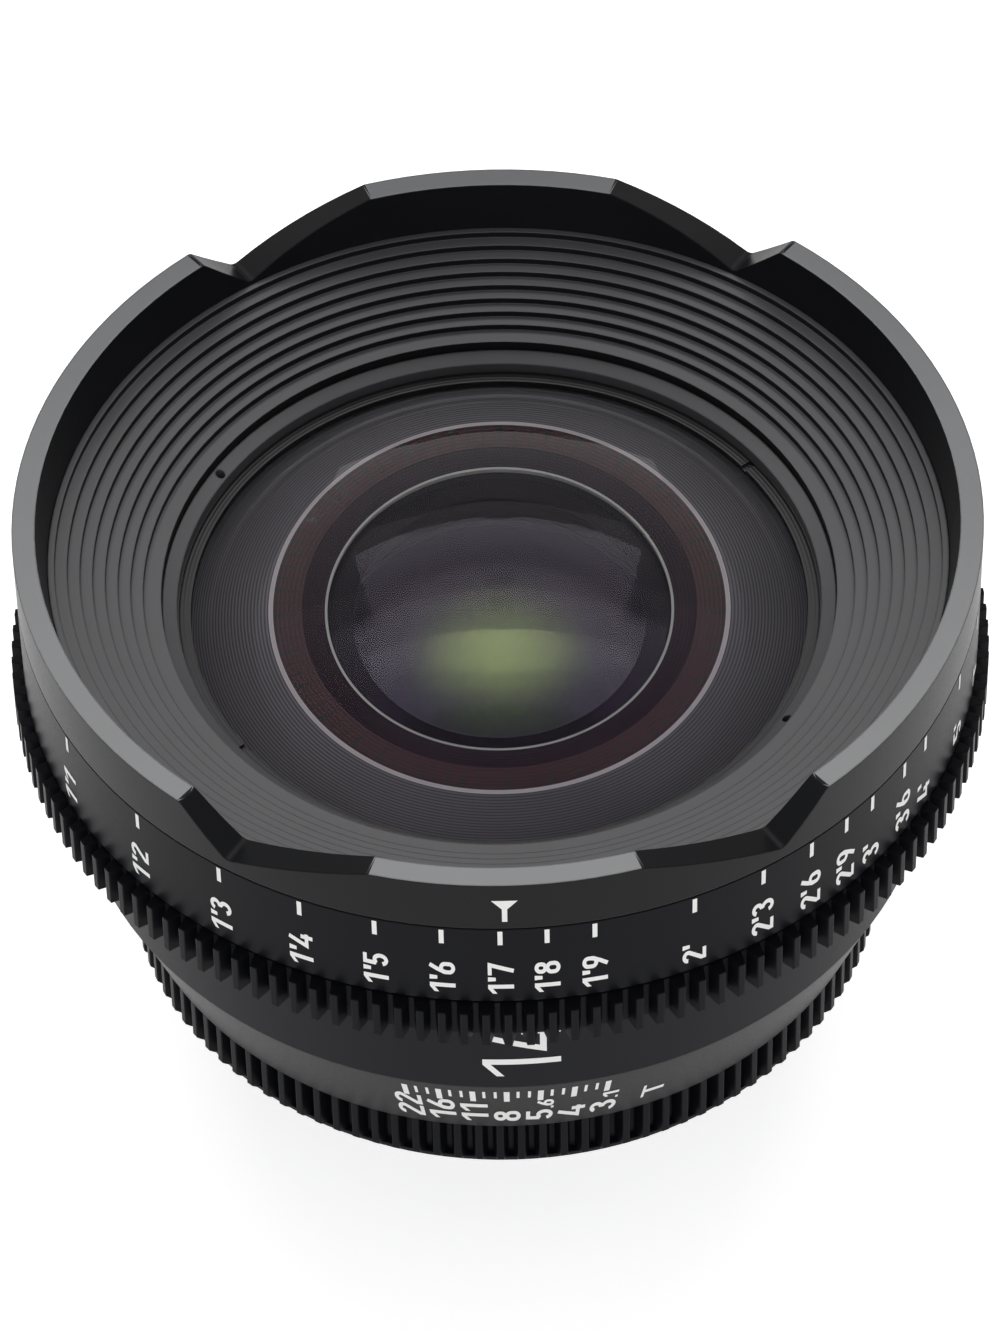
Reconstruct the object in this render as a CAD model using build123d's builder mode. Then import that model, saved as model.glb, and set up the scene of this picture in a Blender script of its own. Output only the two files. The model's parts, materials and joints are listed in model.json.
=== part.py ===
from build123d import *

import os
from math import asin, cos, degrees, pi, radians, sin, sqrt, tan

# A wide-angle cinema prime lens with a fixed petal hood, a geared focus ring and a geared iris ring.
# Millimetres. The optical axis is Z, zero is the mount's flange seat, +Z is the front of the lens,
# and the index marks face -Y. The sizes come first, piece by piece. After them the heights are
# stacked from the mount to the front, and the radii are worked out from the hood inwards.

# Clearances that all the pieces share
joint_gap = 0.2
running_gap = 0.05
fit_gap = 0.05
free_gap = 0.3
overrun = 2.0

# Petal hood
hood_radius = 57.0
lip_width = 2.73
wall_taper = 1.07
wall_depth = 6.26
skirt_depth = 7.55
sleeve_wall = 1.4
sleeve_length = 4.95
hood_floor_thickness = 2.3
hood_floor_width = 4.2
notch_depth = 6.0
notch_angle = 33.7
short_petal_angle = 15.7
long_petal_angle = 40.0
petal_rounding = 1.6

# Ribbed baffle inside the hood
tread_count = 9
tread_width = 1.453
tread_drop = 0.83
first_tread_width = 0.84
last_tread_width = 2.1
baffle_lip_height = 1.4
baffle_lip_width = 0.9
baffle_seat_width = 2.5
baffle_seat_height = 1.1

# Screws: shank radius, head radius and head height
small_shank = 0.8
small_head = 1.4
small_head_height = 1.0
tiny_shank = 0.6
tiny_head = 1.0
tiny_head_height = 0.7

# Guide barrel, the fixed tube that carries the hood and guides the focusing group
guide_share = 47 / 57
guide_wall = 3.5
guide_flange_inset = 0.4
guide_flange_thickness = 2.1
guide_foot_width = 3.5
guide_foot_thickness = 1.8
guide_screw_count = 6
guide_screw_inset = 2.2
guide_screw_bite = 2.2
cell_seat_step = 1.5
cell_seat_drop = 14.5
stop_sector_width = 1.5
hood_screw_count = 6
hood_screw_angle = 15.0
hood_screw_bite = 1.8

# Front cell and the two front elements
front_glass_inset = 2.69
front_glass_land = 0.7
front_glass_edge = 6.25
front_glass_rise = 15.5
front_glass_back_width = 14.2
front_glass_back_rise = 4.0
front_glass_seat_height = 3.55
second_glass_inset = 3.2
second_glass_land = 2.8
second_glass_edge = 2.0
second_glass_rise = 3.5
second_glass_back_land = 6.0
second_glass_back_rise = 2.5
second_glass_drop = 2.75
second_ring_height = 0.65
cell_height = 10.7
cell_bore_width = 1.6
cell_thread_depth = 1.2
cell_groove_width = 15.0
cell_groove_depth = 2.0
cell_groove_wall = 3.9
clamp_ring_land = 0.7
clamp_ring_height = 0.8
clamp_slot_width = 0.9
clamp_slot_depth = 0.4
clamp_slot_angle = 35.5
front_ring_width = 1.7
front_ring_flange = 1.3
front_ring_lift = 0.1
front_ring_slope = 0.7
front_ring_gap = 0.1
spanner_hole_count = 2
spanner_hole_radius = 0.57
spanner_hole_depth = 1.1
spanner_hole_angle = 148.4

# Both gear rings
gear_module = 0.8
gear_pressure_angle = 14.5
root_share = 1.25

# Focus ring: scale ring, gear ring and cam sleeve
focus_gear_overhang = 1.4
focus_gear_width = 5.65
focus_neck_height = 0.85
focus_neck_inset = 1.0
scale_ring_height = 12.85
scale_ring_wall = 2.0
scale_ledge_thickness = 2.5
scale_ledge_width = 2.8
cam_wall = 2.45
cam_flange_thickness = 2.0
ring_screw_count = 6
ring_screw_inset = 1.7
ring_screw_bite = 3.4
focus_turn_near_angle = 90.0
focus_turn_far_angle = 110.0
focus_travel = 4.0
stop_pin_count = 1
stop_pin_radius = 0.65
stop_pin_bite = 1.6
stop_pin_height = 3.1
stop_pin_angle = -80.0

# Focusing group, carried by two followers in the cam slots
follower_angles = (0, 180)
follower_radius = 1.0
follower_clearance = 0.1
follower_bite = 2.0
follower_inset = 0.2
slot_end_gap = 0.3
cam_slot_relief = 0.2
focus_band_wall = 3.0
focus_band_gap = 0.4
focus_web_thickness = 2.5
focus_hub_wall = 2.4
focus_hub_drop = 2.5
seat_width = 1.6
seat_thickness = 1.0
focus_glass_radius = 17.0
focus_glass_edge = 2.4
focus_glass_rise = 2.6
focus_glass_back_rise = 0.8
focus_doublet_edge = 2.6
focus_doublet_rise = 1.2
focus_doublet_join_rise = 1.9
focus_doublet_back_rise = -1.5
focus_spacer_height = 1.6
ring_height = 1.2

# Main barrel, with the journal that the iris ring turns on
barrel_visible_height = 15.75
barrel_wall = 2.1
barrel_gap = 0.4
ledge_thickness = 2.95
journal_share = 43 / 52
journal_wall = 2.0
shoulder_width = 1.5

# Iris ring
iris_gear_inset = 5.6
iris_gear_width = 7.5
iris_cone_length = 14.15
iris_cone_step = 0.3
iris_cone_overhang = 0.2
iris_bevel = 0.7
iris_turn_angle = 27.8
drive_screw_radius = 1.5
drive_screw_recess = 0.5
drive_screw_overlap = 4.0
drive_screw_angle = 90.0

# Iris: eleven blades on a fixed plate, driven by a slotted rotor
blade_count = 11
blade_edge_radius = 11.2
blade_width = 5.5
blade_sweep_angle = 96.0
blade_thickness = 0.15
blade_pitch = 0.3
blade_turn_angle = 30.0
blade_lift = 0.15
pivot_outset = 1.8
stud_radius = 0.6
lobe_radius = 1.5
tail_length = 5.5
tail_angle = 8.0
tail_half_width = 1.1
stud_floor_gap = 0.3
slot_clearance = 0.1
slot_end_share = 0.03
middle_share = 0.5
plate_thickness = 1.5
plate_rim_width = 3.5
plate_seat_height = 8.1
rotor_outer_width = 6.45
rotor_inner_width = 2.7
rotor_thickness = 1.1
rotor_arm_width = 6.2
rotor_arm_gap = 1.0
rotor_inner_share = 0.9
fork_depth = 6.0
retainer_overlap = 2.0
retainer_thickness = 1.0
iris_screw_count = 4
iris_screw_bite = 2.0
iris_screw_angle = 45.0
rim_gap_margin_angle = 2.0
lock_ring_width = 2.4
lock_ring_height = 1.5

# Rear group
rear_cell_gap = 2.55
rear_cell_wall = 2.0
rear_cell_flange_width = 6.5
rear_cell_flange_thickness = 2.5
rear_cell_length = 24.4
rear_front_edge = 2.4
rear_front_rise = 2.4
rear_front_back_rise = -1.4
rear_spacer_height = 3.6
rear_doublet_edge = 2.8
rear_doublet_rise = 2.2
rear_doublet_join_rise = -2.4
rear_doublet_back_rise = -1.8
rear_last_edge = 2.6
rear_last_rise = 1.6
rear_last_back_rise = -2.0
rear_ring_recess = 0.6
rear_screw_count = 3
rear_screw_bite = 1.1
rear_screw_angle = 30.0

# Rear barrel and lens mount
rear_barrel_step = 1.1
rear_barrel_taper = 1.9
rear_barrel_band = 0.6
rear_barrel_thickness = 2.6
rear_barrel_bore_gap = 0.5
rear_barrel_screw_count = 6
rear_barrel_screw_inset = 1.8
rear_barrel_screw_bite = 4.0
shim_thickness = 0.3
shim_bore_gap = 1.0
mount_plate_share = 36 / 43
mount_plate_width = 6.5
mount_plate_thickness = 2.0
mount_neck_height = 3.5
lug_thickness = 3.0
lug_inset = 1.8
lug_root_width = 1.4
lug_count = 4
lug_sweep_angle = 42.0
lug_first_angle = 45.0
lug_notch_width = 5.0
lug_notch_depth = 2.6
spigot_step = 2.5
spigot_wall = 4.0
spigot_length = 9.5
spigot_chamfer = 0.6
mount_screw_count = 4
mount_screw_inset = 2.8
mount_screw_bite = 1.8

# Heights of the outside, stacked from the mount's seat to the front of the hood
mount_plate_z = lug_thickness + mount_neck_height
mount_top_z = mount_plate_z + mount_plate_thickness
rear_barrel_z = mount_top_z + shim_thickness
rear_barrel_top_z = rear_barrel_z + rear_barrel_thickness
iris_gear_z = rear_barrel_top_z + joint_gap
iris_gear_top_z = iris_gear_z + iris_gear_width
iris_top_z = iris_gear_top_z + iris_cone_length
ledge_z = iris_top_z + joint_gap
barrel_top_z = ledge_z + barrel_visible_height
focus_gear_z = barrel_top_z + joint_gap
gear_top_z = focus_gear_z + focus_gear_width
scale_ring_z = gear_top_z + focus_neck_height
scale_ring_top_z = scale_ring_z + scale_ring_height
skirt_z = scale_ring_top_z + joint_gap
front_z = skirt_z + skirt_depth

# Heights of the hood, the baffle and the guide barrel
sleeve_z = skirt_z - sleeve_length
hood_floor_z = sleeve_z + hood_floor_thickness
notch_z = front_z - notch_depth
tread_top_z = front_z - wall_depth
last_tread_z = tread_top_z - (tread_count - 1) * tread_drop
baffle_lip_z = last_tread_z - baffle_lip_height
guide_flange_z = sleeve_z - guide_flange_thickness
ledge_top_z = ledge_z + ledge_thickness
guide_foot_z = ledge_top_z + guide_foot_thickness

# Heights of the front cell and its glass
cell_seat_z = sleeve_z - cell_seat_drop
cell_top_z = cell_seat_z + cell_height
front_glass_z = cell_seat_z + front_glass_seat_height
front_glass_edge_z = front_glass_z + front_glass_edge
clamp_ring_z = front_glass_edge_z + clamp_ring_height
front_ring_z = baffle_lip_z + front_ring_lift
second_glass_z = front_glass_z - second_glass_drop
second_glass_edge_z = second_glass_z + second_glass_edge

# Heights of the cam sleeve and the focusing group, with the lens focused at its index. The group
# travels near_travel towards the front and far_travel towards the mount.
scale_ledge_z = scale_ring_z + scale_ledge_thickness
cam_flange_z = scale_ledge_z + cam_flange_thickness
cam_top_z = guide_flange_z - free_gap
cam_foot_z = ledge_top_z + free_gap
focus_turn_angle = focus_turn_near_angle + focus_turn_far_angle
near_travel = focus_travel * focus_turn_near_angle / focus_turn_angle
far_travel = focus_travel - near_travel
focus_band_z = guide_foot_z + tiny_head_height + far_travel + focus_band_gap
focus_band_top_z = cell_seat_z - near_travel - focus_band_gap
follower_z = (focus_band_z + focus_band_top_z) / 2
focus_web_z = follower_z - focus_web_thickness / 2
focus_hub_top_z = cell_seat_z - focus_hub_drop
focus_front_top_z = focus_hub_top_z - ring_height
focus_front_z = focus_front_top_z - focus_glass_edge
focus_spacer_z = focus_front_z - focus_spacer_height
focus_join_z = focus_spacer_z - focus_doublet_edge
focus_seat_z = focus_join_z - focus_doublet_edge
focus_hub_z = focus_seat_z - seat_thickness

# Heights of the iris and the rear group
plate_z = rear_barrel_top_z + plate_seat_height
plate_top_z = plate_z + plate_thickness
blade_z = plate_top_z + blade_lift
rotor_z = blade_z + blade_count * blade_pitch + free_gap
rotor_top_z = rotor_z + rotor_thickness
retainer_z = rotor_top_z + free_gap
drive_screw_z = rotor_z + rotor_thickness / 2
rear_flange_z = plate_z - rear_cell_flange_thickness
rear_cell_z = rear_flange_z - rear_cell_length
rear_front_z = rear_flange_z - rear_front_edge
rear_doublet_top_z = rear_front_z - rear_spacer_height
rear_join_z = rear_doublet_top_z - rear_doublet_edge
rear_doublet_z = rear_join_z - rear_doublet_edge
rear_ring_z = rear_cell_z + rear_ring_recess
rear_last_z = rear_ring_z + ring_height
rear_last_top_z = rear_last_z + rear_last_edge

# Radii of the hood, the baffle and the guide barrel
well_radius = hood_radius - lip_width - wall_taper
sleeve_radius = well_radius + sleeve_wall
hood_floor_bore = well_radius - hood_floor_width
hood_screw_radius = (well_radius + hood_floor_bore) / 2
notch_near_distance = well_radius * cos(radians(long_petal_angle)) - overrun
baffle_radius = well_radius - fit_gap
riser_radius = well_radius - first_tread_width
baffle_bore = riser_radius - (tread_count - 2) * tread_width - last_tread_width
guide_radius = hood_radius * guide_share
guide_bore = guide_radius - guide_wall
guide_flange_radius = well_radius - guide_flange_inset
guide_foot_bore = guide_bore - guide_foot_width
guide_screw_radius = guide_foot_bore + guide_screw_inset

# Radii of the front cell and its glass
cell_bore = guide_bore + cell_seat_step
cell_radius = cell_bore - fit_gap
front_ring_radius = baffle_bore - front_ring_gap
front_glass_radius = baffle_bore - front_glass_inset
front_glass_opening = front_glass_radius - front_glass_land
front_glass_back_opening = front_glass_radius - front_glass_back_width
clamp_ring_radius = front_glass_radius + clamp_ring_land
clamp_bore = clamp_ring_radius + fit_gap
second_glass_radius = front_glass_back_opening - second_glass_inset
second_glass_opening = second_glass_radius - second_glass_land
second_glass_back_opening = second_glass_radius - second_glass_back_land
second_glass_bore = second_glass_radius + fit_gap
second_seat_bore = second_glass_radius - cell_bore_width

# Radii of the focus ring
scale_bore = hood_radius - scale_ring_wall
scale_ledge_bore = scale_bore - scale_ledge_width
cam_bore = guide_radius + running_gap
cam_radius = cam_bore + cam_wall
cam_flange_radius = scale_bore - running_gap
ring_screw_radius = scale_bore - ring_screw_inset
focus_tooth_count = round(2 * (hood_radius + focus_gear_overhang - gear_module) / gear_module)
focus_neck_radius = hood_radius - focus_neck_inset
focus_gear_bore = cam_radius + fit_gap
stop_pin_circle = guide_flange_radius + stop_pin_radius + free_gap
stop_pin_half_angle = degrees(asin((stop_pin_radius + free_gap) / stop_pin_circle))
stop_sector_angle = stop_pin_angle + focus_turn_near_angle + stop_pin_half_angle
stop_sector_sweep = 360 - focus_turn_near_angle - focus_turn_far_angle - 2 * stop_pin_half_angle

# Radii of the focusing group
follower_slot_half = follower_radius + follower_clearance
focus_band_radius = guide_bore - running_gap
focus_band_bore = focus_band_radius - focus_band_wall
focus_bore = focus_glass_radius + fit_gap
focus_hub_radius = focus_bore + focus_hub_wall
focus_opening = focus_glass_radius - seat_width

# Radii of the main barrel and the iris ring
barrel_bore = cam_radius + barrel_gap
barrel_radius = barrel_bore + barrel_wall
journal_radius = barrel_radius * journal_share
journal_bore = journal_radius - journal_wall
shoulder_bore = journal_bore - shoulder_width
iris_bore = journal_radius + running_gap
iris_tooth_count = round(2 * (barrel_radius - iris_gear_inset - gear_module) / gear_module)
iris_tip_radius = gear_module * iris_tooth_count / 2 + gear_module
iris_cone_small_radius = iris_tip_radius + iris_cone_overhang
iris_top_radius = barrel_radius - iris_cone_step
iris_cone_share = (drive_screw_z - iris_gear_top_z) / iris_cone_length
iris_cone_middle_radius = iris_cone_small_radius + iris_cone_share * (
    iris_top_radius - iris_cone_small_radius
)

# Radii and angles of the iris
blade_outer_radius = blade_edge_radius + blade_width
pivot_radius = blade_outer_radius + pivot_outset
rotor_radius = pivot_radius + rotor_outer_width
rotor_bore = pivot_radius - rotor_inner_width
rotor_arm_radius = journal_bore - rotor_arm_gap
plate_rim_bore = rotor_radius + running_gap
plate_rim_radius = plate_rim_bore + plate_rim_width
iris_screw_radius = (plate_rim_bore + plate_rim_radius) / 2
blade_angle = 360 / blade_count
drive_screw_half_angle = degrees(asin((drive_screw_radius + free_gap) / journal_bore))
drive_slot_half_angle = iris_turn_angle / 2 + drive_screw_half_angle
rotor_arm_half_angle = degrees(asin(rotor_arm_width / 2 / rotor_radius))
rim_gap_half_angle = iris_turn_angle / 2 + rotor_arm_half_angle + rim_gap_margin_angle

# Radii of the rear barrel, the mount and the rear group
rear_barrel_radius = iris_tip_radius - rear_barrel_step
rear_barrel_foot_radius = rear_barrel_radius - rear_barrel_taper
rear_barrel_screw_radius = journal_radius - rear_barrel_screw_inset
mount_plate_radius = journal_radius * mount_plate_share
mount_screw_radius = mount_plate_radius - mount_screw_inset
mount_neck_radius = mount_plate_radius - mount_plate_width
rear_barrel_bore = mount_neck_radius + rear_barrel_bore_gap
shim_bore = mount_neck_radius + shim_bore_gap
lug_radius = mount_plate_radius - lug_inset
lug_root_radius = mount_neck_radius + lug_root_width
spigot_radius = mount_neck_radius - spigot_step
spigot_bore = spigot_radius - spigot_wall
rear_cell_radius = spigot_bore - rear_cell_gap
rear_cell_bore = rear_cell_radius - rear_cell_wall
rear_cell_flange_radius = rear_cell_radius + rear_cell_flange_width
rear_glass_radius = rear_cell_bore - fit_gap
rear_opening = rear_glass_radius - seat_width
rear_screw_radius = rear_cell_radius + rear_cell_flange_width / 2


def ring_section(*points):
    """Closed section on the XZ plane, from points of radius and height."""
    with BuildSketch(Plane.XZ) as section:
        with BuildLine():
            Polyline(*points, close=True)
        make_face()
    return section.sketch


def turned(*points, mode=Mode.ADD):
    """Turns a section about the optical axis into the part that is being built."""
    revolve(ring_section(*points), axis=Axis.Z, mode=mode)


def tube(inner, outer, low, high, mode=Mode.ADD):
    turned((inner, low), (outer, low), (outer, high), (inner, high), mode=mode)


def sector(inner, outer, low, high, start_angle, sweep_angle, mode=Mode.ADD):
    """Part of a ring, from one azimuth over a sweep."""
    section = ring_section((inner, low), (outer, low), (outer, high), (inner, high))
    placed = section.rotate(Axis.Z, start_angle)
    revolve(placed, axis=Axis.Z, revolution_arc=sweep_angle, mode=mode)


def level(height):
    return Plane.XY.offset(height)


def pegs(circle, count, start_angle, low, high, radius, mode=Mode.ADD):
    """Round pegs about the axis, or round holes where the mode subtracts."""
    with BuildSketch(level(low)) as outlines:
        with PolarLocations(circle, count, start_angle=start_angle):
            Circle(radius)
    extrude(outlines.sketch, amount=high - low, mode=mode)


def holes(circle, count, start_angle, low, high, radius):
    pegs(circle, count, start_angle, low, high, radius, mode=Mode.SUBTRACT)


def outward_peg(angle, height, near, far, radius, mode=Mode.ADD):
    """Round peg that points straight away from the axis, or a hole for it."""
    outward = (cos(radians(angle)), sin(radians(angle)), 0)
    origin = (near * outward[0], near * outward[1], height)
    with BuildSketch(Plane(origin=origin, x_dir=(0, 0, 1), z_dir=outward)) as outline:
        Circle(radius)
    extrude(outline.sketch, amount=far - near, mode=mode)


def gear_outline(tooth_count):
    """Trapezoid teeth of the standard pitch, with one straight flank on each side."""
    pitch_radius = gear_module * tooth_count / 2
    tip_radius = pitch_radius + gear_module
    root_radius = pitch_radius - gear_module * root_share
    half_pitch_width = pi * gear_module / 4
    flank = tan(radians(gear_pressure_angle))
    tip_half = (half_pitch_width - flank * (tip_radius - pitch_radius)) / tip_radius
    root_half = (half_pitch_width + flank * (pitch_radius - root_radius)) / root_radius
    corners = []
    for tooth in range(tooth_count):
        centre = 2 * pi * tooth / tooth_count
        for radius, turn in (
            (root_radius, -root_half),
            (tip_radius, -tip_half),
            (tip_radius, tip_half),
            (root_radius, root_half),
        ):
            corners.append((radius * cos(centre + turn), radius * sin(centre + turn)))
    with BuildSketch() as outline:
        with BuildLine():
            Polyline(*corners, close=True)
        make_face()
    return outline.sketch


def geared_band(tooth_count, bore, low, high):
    with BuildSketch(level(low)) as band:
        add(gear_outline(tooth_count))
        Circle(bore, mode=Mode.SUBTRACT)
    extrude(band.sketch, amount=high - low)


def sphere_middle(opening, rise):
    """Height above the rim of a spherical face, halfway out to its opening."""
    ball = (opening**2 + rise**2) / (2 * abs(rise))
    dip = ball - sqrt(ball**2 - (opening / 2) ** 2)
    return rise - dip if rise > 0 else rise + dip


def glass(rim_radius, low, high, back, front):
    """Lens element: ground edge, two spherical faces and a flat seat around each of them.

    Each face is its opening radius and its rise towards +Z."""
    back_opening, back_rise = back
    front_opening, front_rise = front
    with BuildSketch(Plane.XZ) as section:
        with BuildLine():
            ThreePointArc(
                (0, low + back_rise),
                (back_opening / 2, low + sphere_middle(back_opening, back_rise)),
                (back_opening, low),
            )
            if back_opening < rim_radius:
                Line((back_opening, low), (rim_radius, low))
            Line((rim_radius, low), (rim_radius, high))
            if front_opening < rim_radius:
                Line((rim_radius, high), (front_opening, high))
            ThreePointArc(
                (front_opening, high),
                (front_opening / 2, high + sphere_middle(front_opening, front_rise)),
                (0, high + front_rise),
            )
            Line((0, high + front_rise), (0, low + back_rise))
        make_face()
    revolve(section.sketch, axis=Axis.Z)


def finish(builder, name):
    builder.part.label = name
    export_step(builder.part, f"parts/{name}.step")


os.makedirs("parts", exist_ok=True)


def notch_cutter(facing, side):
    """Cuts one notch: a long ramp from the short petal, then a steep one up to the long petal.

    The section widens with the distance from the axis, so that the edges run radially."""
    sections = []
    for distance in (notch_near_distance, hood_radius + overrun):
        start = side * distance * tan(radians(short_petal_angle))
        crease = side * distance * tan(radians(notch_angle))
        end = side * distance * tan(radians(long_petal_angle))
        plane = Plane(origin=(0, facing * distance, 0), x_dir=(-facing, 0, 0), z_dir=(0, facing, 0))
        with BuildSketch(plane) as section:
            with BuildLine():
                FilletPolyline(
                    (start - side * overrun, front_z),
                    (start, front_z),
                    (crease, notch_z),
                    (end, front_z),
                    (end + side * overrun, front_z),
                    radius=petal_rounding,
                )
                Polyline(
                    (end + side * overrun, front_z),
                    (end + side * overrun, front_z + overrun),
                    (start - side * overrun, front_z + overrun),
                    (start - side * overrun, front_z),
                )
            make_face()
        sections.append(section.sketch)
    loft(sections, ruled=True, mode=Mode.SUBTRACT)


# Petal hood: outer skirt, inner wall, and a floor ring that is screwed to the guide barrel
with BuildPart() as petal_hood:
    turned(
        (hood_floor_bore, sleeve_z),
        (sleeve_radius, sleeve_z),
        (sleeve_radius, skirt_z),
        (hood_radius, skirt_z),
        (hood_radius, front_z),
        (hood_radius - lip_width, front_z),
        (well_radius, tread_top_z),
        (well_radius, hood_floor_z),
        (hood_floor_bore, hood_floor_z),
    )
    for facing in (-1, 1):
        for side in (-1, 1):
            notch_cutter(facing, side)
    holes(
        hood_screw_radius,
        hood_screw_count,
        hood_screw_angle,
        sleeve_z,
        hood_floor_z,
        small_shank + fit_gap,
    )
    holes(
        hood_screw_radius,
        hood_screw_count,
        hood_screw_angle,
        hood_floor_z - small_head_height - fit_gap,
        hood_floor_z,
        small_head + fit_gap,
    )
finish(petal_hood, "petal_hood")

with BuildPart() as hood_screws:
    pegs(
        hood_screw_radius,
        hood_screw_count,
        hood_screw_angle,
        hood_floor_z - small_head_height - fit_gap,
        hood_floor_z - fit_gap,
        small_head,
    )
    pegs(
        hood_screw_radius,
        hood_screw_count,
        hood_screw_angle,
        sleeve_z - hood_screw_bite,
        hood_floor_z - small_head_height,
        small_shank,
    )
finish(hood_screws, "hood_screws")

# Baffle: flat treads that step down towards the glass, the last one ending in a lip
baffle_section = []
for step in range(tread_count):
    tread_z = tread_top_z - step * tread_drop
    tread_outer = riser_radius - (step - 1) * tread_width if step else baffle_radius
    tread_inner = riser_radius - step * tread_width
    if step == tread_count - 1:
        tread_inner = baffle_bore
    baffle_section.append((tread_outer, tread_z))
    baffle_section.append((tread_inner, tread_z))
baffle_section.append((baffle_bore, baffle_lip_z))
baffle_section.append((baffle_bore + baffle_lip_width, baffle_lip_z))
baffle_section.append((baffle_radius - baffle_seat_width, hood_floor_z + baffle_seat_height))
baffle_section.append((baffle_radius - baffle_seat_width, hood_floor_z))
baffle_section.append((baffle_radius, hood_floor_z))
with BuildPart() as hood_baffle:
    turned(*baffle_section)
finish(hood_baffle, "hood_baffle")

# Guide barrel: carries the hood and the front cell, and guides the followers in two straight slots
with BuildPart() as guide_barrel:
    turned(
        (guide_foot_bore, ledge_top_z),
        (guide_radius, ledge_top_z),
        (guide_radius, guide_flange_z),
        (guide_flange_radius, guide_flange_z),
        (guide_flange_radius, sleeve_z),
        (cell_bore, sleeve_z),
        (cell_bore, cell_seat_z),
        (guide_bore, cell_seat_z),
        (guide_bore, guide_foot_z),
        (guide_foot_bore, guide_foot_z),
    )
    sector(
        guide_flange_radius - fit_gap,
        guide_flange_radius + stop_sector_width,
        guide_flange_z,
        sleeve_z,
        stop_sector_angle,
        stop_sector_sweep,
    )
    with BuildSketch(Plane.YZ) as slot:
        with Locations((0, follower_z + (near_travel - far_travel) / 2)):
            SlotOverall(
                focus_travel + 2 * (follower_radius + slot_end_gap),
                2 * follower_slot_half,
                rotation=90,
            )
    extrude(slot.sketch, amount=guide_radius + overrun, both=True, mode=Mode.SUBTRACT)
    holes(
        hood_screw_radius,
        hood_screw_count,
        hood_screw_angle,
        guide_flange_z,
        sleeve_z,
        small_shank + fit_gap,
    )
    holes(
        guide_screw_radius,
        guide_screw_count,
        0,
        ledge_top_z,
        guide_foot_z,
        tiny_shank + fit_gap,
    )
finish(guide_barrel, "guide_barrel")

with BuildPart() as guide_screws:
    pegs(
        guide_screw_radius,
        guide_screw_count,
        0,
        guide_foot_z,
        guide_foot_z + tiny_head_height,
        tiny_head,
    )
    pegs(
        guide_screw_radius,
        guide_screw_count,
        0,
        ledge_top_z - guide_screw_bite,
        guide_foot_z,
        tiny_shank,
    )
finish(guide_screws, "guide_screws")

# Front cell: holds the large front element and the second element behind it
with BuildPart() as front_cell:
    turned(
        (second_seat_bore, cell_seat_z),
        (cell_radius, cell_seat_z),
        (cell_radius, cell_top_z),
        (clamp_bore, cell_top_z),
        (clamp_bore, cell_top_z - cell_thread_depth),
        (front_glass_radius + fit_gap, cell_top_z - cell_thread_depth),
        (front_glass_radius + fit_gap, front_glass_z),
        (second_glass_bore, front_glass_z),
        (second_glass_bore, second_glass_z),
        (second_seat_bore, second_glass_z),
    )
    tube(
        cell_radius - cell_groove_wall - cell_groove_width,
        cell_radius - cell_groove_wall,
        cell_seat_z,
        cell_seat_z + cell_groove_depth,
        mode=Mode.SUBTRACT,
    )
finish(front_cell, "front_cell")

with BuildPart() as front_element:
    glass(
        front_glass_radius,
        front_glass_z,
        front_glass_edge_z,
        back=(front_glass_back_opening, front_glass_back_rise),
        front=(front_glass_opening, front_glass_rise),
    )
finish(front_element, "front_element")

with BuildPart() as second_element:
    glass(
        second_glass_radius,
        second_glass_z,
        second_glass_edge_z,
        back=(second_glass_back_opening, second_glass_back_rise),
        front=(second_glass_opening, second_glass_rise),
    )
finish(second_element, "second_element")

with BuildPart() as second_retainer:
    tube(
        second_glass_opening + fit_gap,
        second_glass_radius,
        second_glass_edge_z,
        second_glass_edge_z + second_ring_height,
    )
finish(second_retainer, "second_retainer")

# Clamp ring on the edge of the front element, with two slots for a spanner
with BuildPart() as glass_clamp_ring:
    tube(front_glass_opening + fit_gap, clamp_ring_radius, front_glass_edge_z, clamp_ring_z)
    with BuildSketch(level(clamp_ring_z - clamp_slot_depth)) as slots:
        with Locations(Rotation(0, 0, clamp_slot_angle)):
            Rectangle(2 * (clamp_ring_radius + overrun), clamp_slot_width)
    extrude(slots.sketch, amount=clamp_slot_depth + overrun, mode=Mode.SUBTRACT)
finish(glass_clamp_ring, "glass_clamp_ring")

# Threaded ring that holds the front cell down, with two spanner holes in its sloping face
with BuildPart() as front_retainer:
    turned(
        (front_ring_radius - front_ring_width, cell_top_z),
        (cell_radius, cell_top_z),
        (cell_radius, cell_top_z + front_ring_flange),
        (front_ring_radius, cell_top_z + front_ring_flange),
        (front_ring_radius, front_ring_z),
        (front_ring_radius - front_ring_width, front_ring_z - front_ring_slope),
    )
    holes(
        front_ring_radius - front_ring_width / 2,
        spanner_hole_count,
        spanner_hole_angle,
        front_ring_z - front_ring_slope - spanner_hole_depth,
        front_ring_z,
        spanner_hole_radius,
    )
finish(front_retainer, "front_retainer")

# Focus ring: scale ring on top, gear ring below, and the cam sleeve inside them
with BuildPart() as focus_scale_ring:
    turned(
        (scale_ledge_bore, scale_ring_z),
        (hood_radius, scale_ring_z),
        (hood_radius, scale_ring_top_z),
        (scale_bore, scale_ring_top_z),
        (scale_bore, scale_ledge_z),
        (scale_ledge_bore, scale_ledge_z),
    )
    holes(
        ring_screw_radius,
        ring_screw_count,
        0,
        scale_ring_z,
        scale_ledge_z,
        small_shank + fit_gap,
    )
finish(focus_scale_ring, "focus_scale_ring")

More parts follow.
